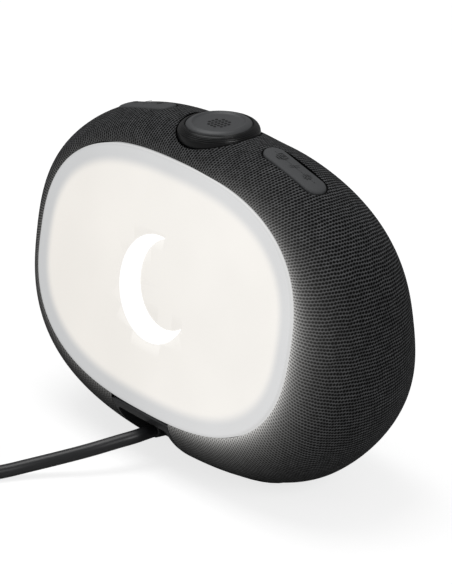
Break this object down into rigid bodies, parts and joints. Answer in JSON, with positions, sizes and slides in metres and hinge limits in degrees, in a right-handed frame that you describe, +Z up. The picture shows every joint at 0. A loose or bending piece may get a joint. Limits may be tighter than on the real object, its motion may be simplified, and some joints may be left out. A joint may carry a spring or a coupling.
{
  "type": "smart display",
  "caption": "Fabric-covered bedside smart display with an oval screen, a glowing oval light on the back, a rotary knob with a press cap, rocker pads and a power cord.",
  "frame": {"origin": "centre of the rubber foot's underside, where the display stands on a table", "axes": "+Z up, +X to the right when the lit back is seen from the front, +Y out of the display side, -Y out of the lit side"},
  "size_m": [0.2763, 0.1762, 0.1333],
  "materials": {
    "fabric": "charcoal knitted acoustic fabric with a fine two-tone rib",
    "housing": "moulded black ABS, fine matte texture",
    "diffuser": "opal white diffuser, satin, lit warm white from behind",
    "mark": "pure white inlay, satin",
    "frame": "moulded black ABS, satin",
    "reflector": "white reflective ABS, satin",
    "white_board": "white solder-masked circuit board",
    "led": "phosphor yellow LED, glossy",
    "display_lens": "polished black-tinted cover lens",
    "display_module": "dark display panel, glossy",
    "knob_ring": "satin black, fine turned grooves on its shoulder",
    "knob_cap": "soft-touch dark grey, slightly dished",
    "inner_plastic": "black moulded plastic",
    "steel": "bright nickel-plated steel",
    "pad": "dark grey silicone rubber, matte, with embossed symbols",
    "green_board": "green solder-masked circuit board",
    "bay": "smooth satin black moulding",
    "base": "black moulded plate, fine matte texture",
    "foot": "black silicone rubber, matte",
    "cone": "coated black paper cone",
    "plug": "black over-moulded PVC, satin",
    "cord": "black PVC sheath, satin",
    "adapter": "black polycarbonate, fine spark texture",
    "blade": "plated brass blade, polished"
  },
  "bodies": {
    "case": {"fabric_cover": "fabric", "lit_side_housing": "housing", "display_side_housing": "housing", "light_diffuser": "diffuser", "light_mark_inlay": "mark", "light_frame": "frame", "light_reflector_tray": "reflector", "led_board": "white_board", "led_1": "led", "led_2": "led", "led_3": "led", "led_4": "led", "led_5": "led", "led_6": "led", "display_lens": "display_lens", "display_frame": "frame", "display_module": "display_module", "display_carrier": "housing", "encoder_stator": "inner_plastic", "cap_switch": "inner_plastic", "knob_seat": "housing", "cap_spring": "steel", "left_inner_switch": "inner_plastic", "left_outer_switch": "inner_plastic", "left_switch_board": "green_board", "right_inner_switch": "inner_plastic", "right_outer_switch": "inner_plastic", "right_switch_board": "green_board", "cable_bay": "bay", "dc_jack": "inner_plastic", "base_plate": "base", "rubber_foot": "foot", "base_screw_1": "steel", "base_screw_2": "steel", "base_screw_3": "steel", "base_screw_4": "steel", "main_board": "green_board", "processor_shield": "steel", "wireless_module": "steel", "speaker_frame": "inner_plastic", "speaker_cone": "cone", "speaker_magnet": "steel", "passive_radiator_frame": "inner_plastic", "passive_radiator_cone": "cone", "dc_plug": "plug", "power_cord": "cord", "cord_coil": "cord", "cord_tail": "cord", "adapter_relief": "plug", "wall_adapter": "adapter", "adapter_blade_left": "blade", "adapter_blade_right": "blade"},
    "knob": {"knob_ring": "knob_ring", "encoder_rotor": "inner_plastic"},
    "cap": {"knob_cap": "knob_cap"},
    "left_rocker": {"left_pad": "pad"},
    "right_rocker": {"right_pad": "pad"}
  },
  "joints": [
    {"name": "knob_turn", "type": "hinge", "parent": "case", "child": "knob", "pos_m": [0, 0, 0.125], "axis": [0, 0, 1], "continuous": true},
    {"name": "cap_press", "type": "slide", "parent": "case", "child": "cap", "axis": [0, 0, -1], "range_m": [0, 0.0008], "stiffness_N_per_m": 1000, "springref_m": -0.001},
    {"name": "left_pad_rock", "type": "hinge", "parent": "case", "child": "left_rocker", "pos_m": [-0.044, 0, 0.1255], "axis": [0, 1, 0], "range_deg": [-1.5, 1.5], "stiffness_Nm_per_rad": 0.6},
    {"name": "right_pad_rock", "type": "hinge", "parent": "case", "child": "right_rocker", "pos_m": [0.044, 0, 0.1255], "axis": [0, 1, 0], "range_deg": [-1.5, 1.5], "stiffness_Nm_per_rad": 0.6}
  ]
}
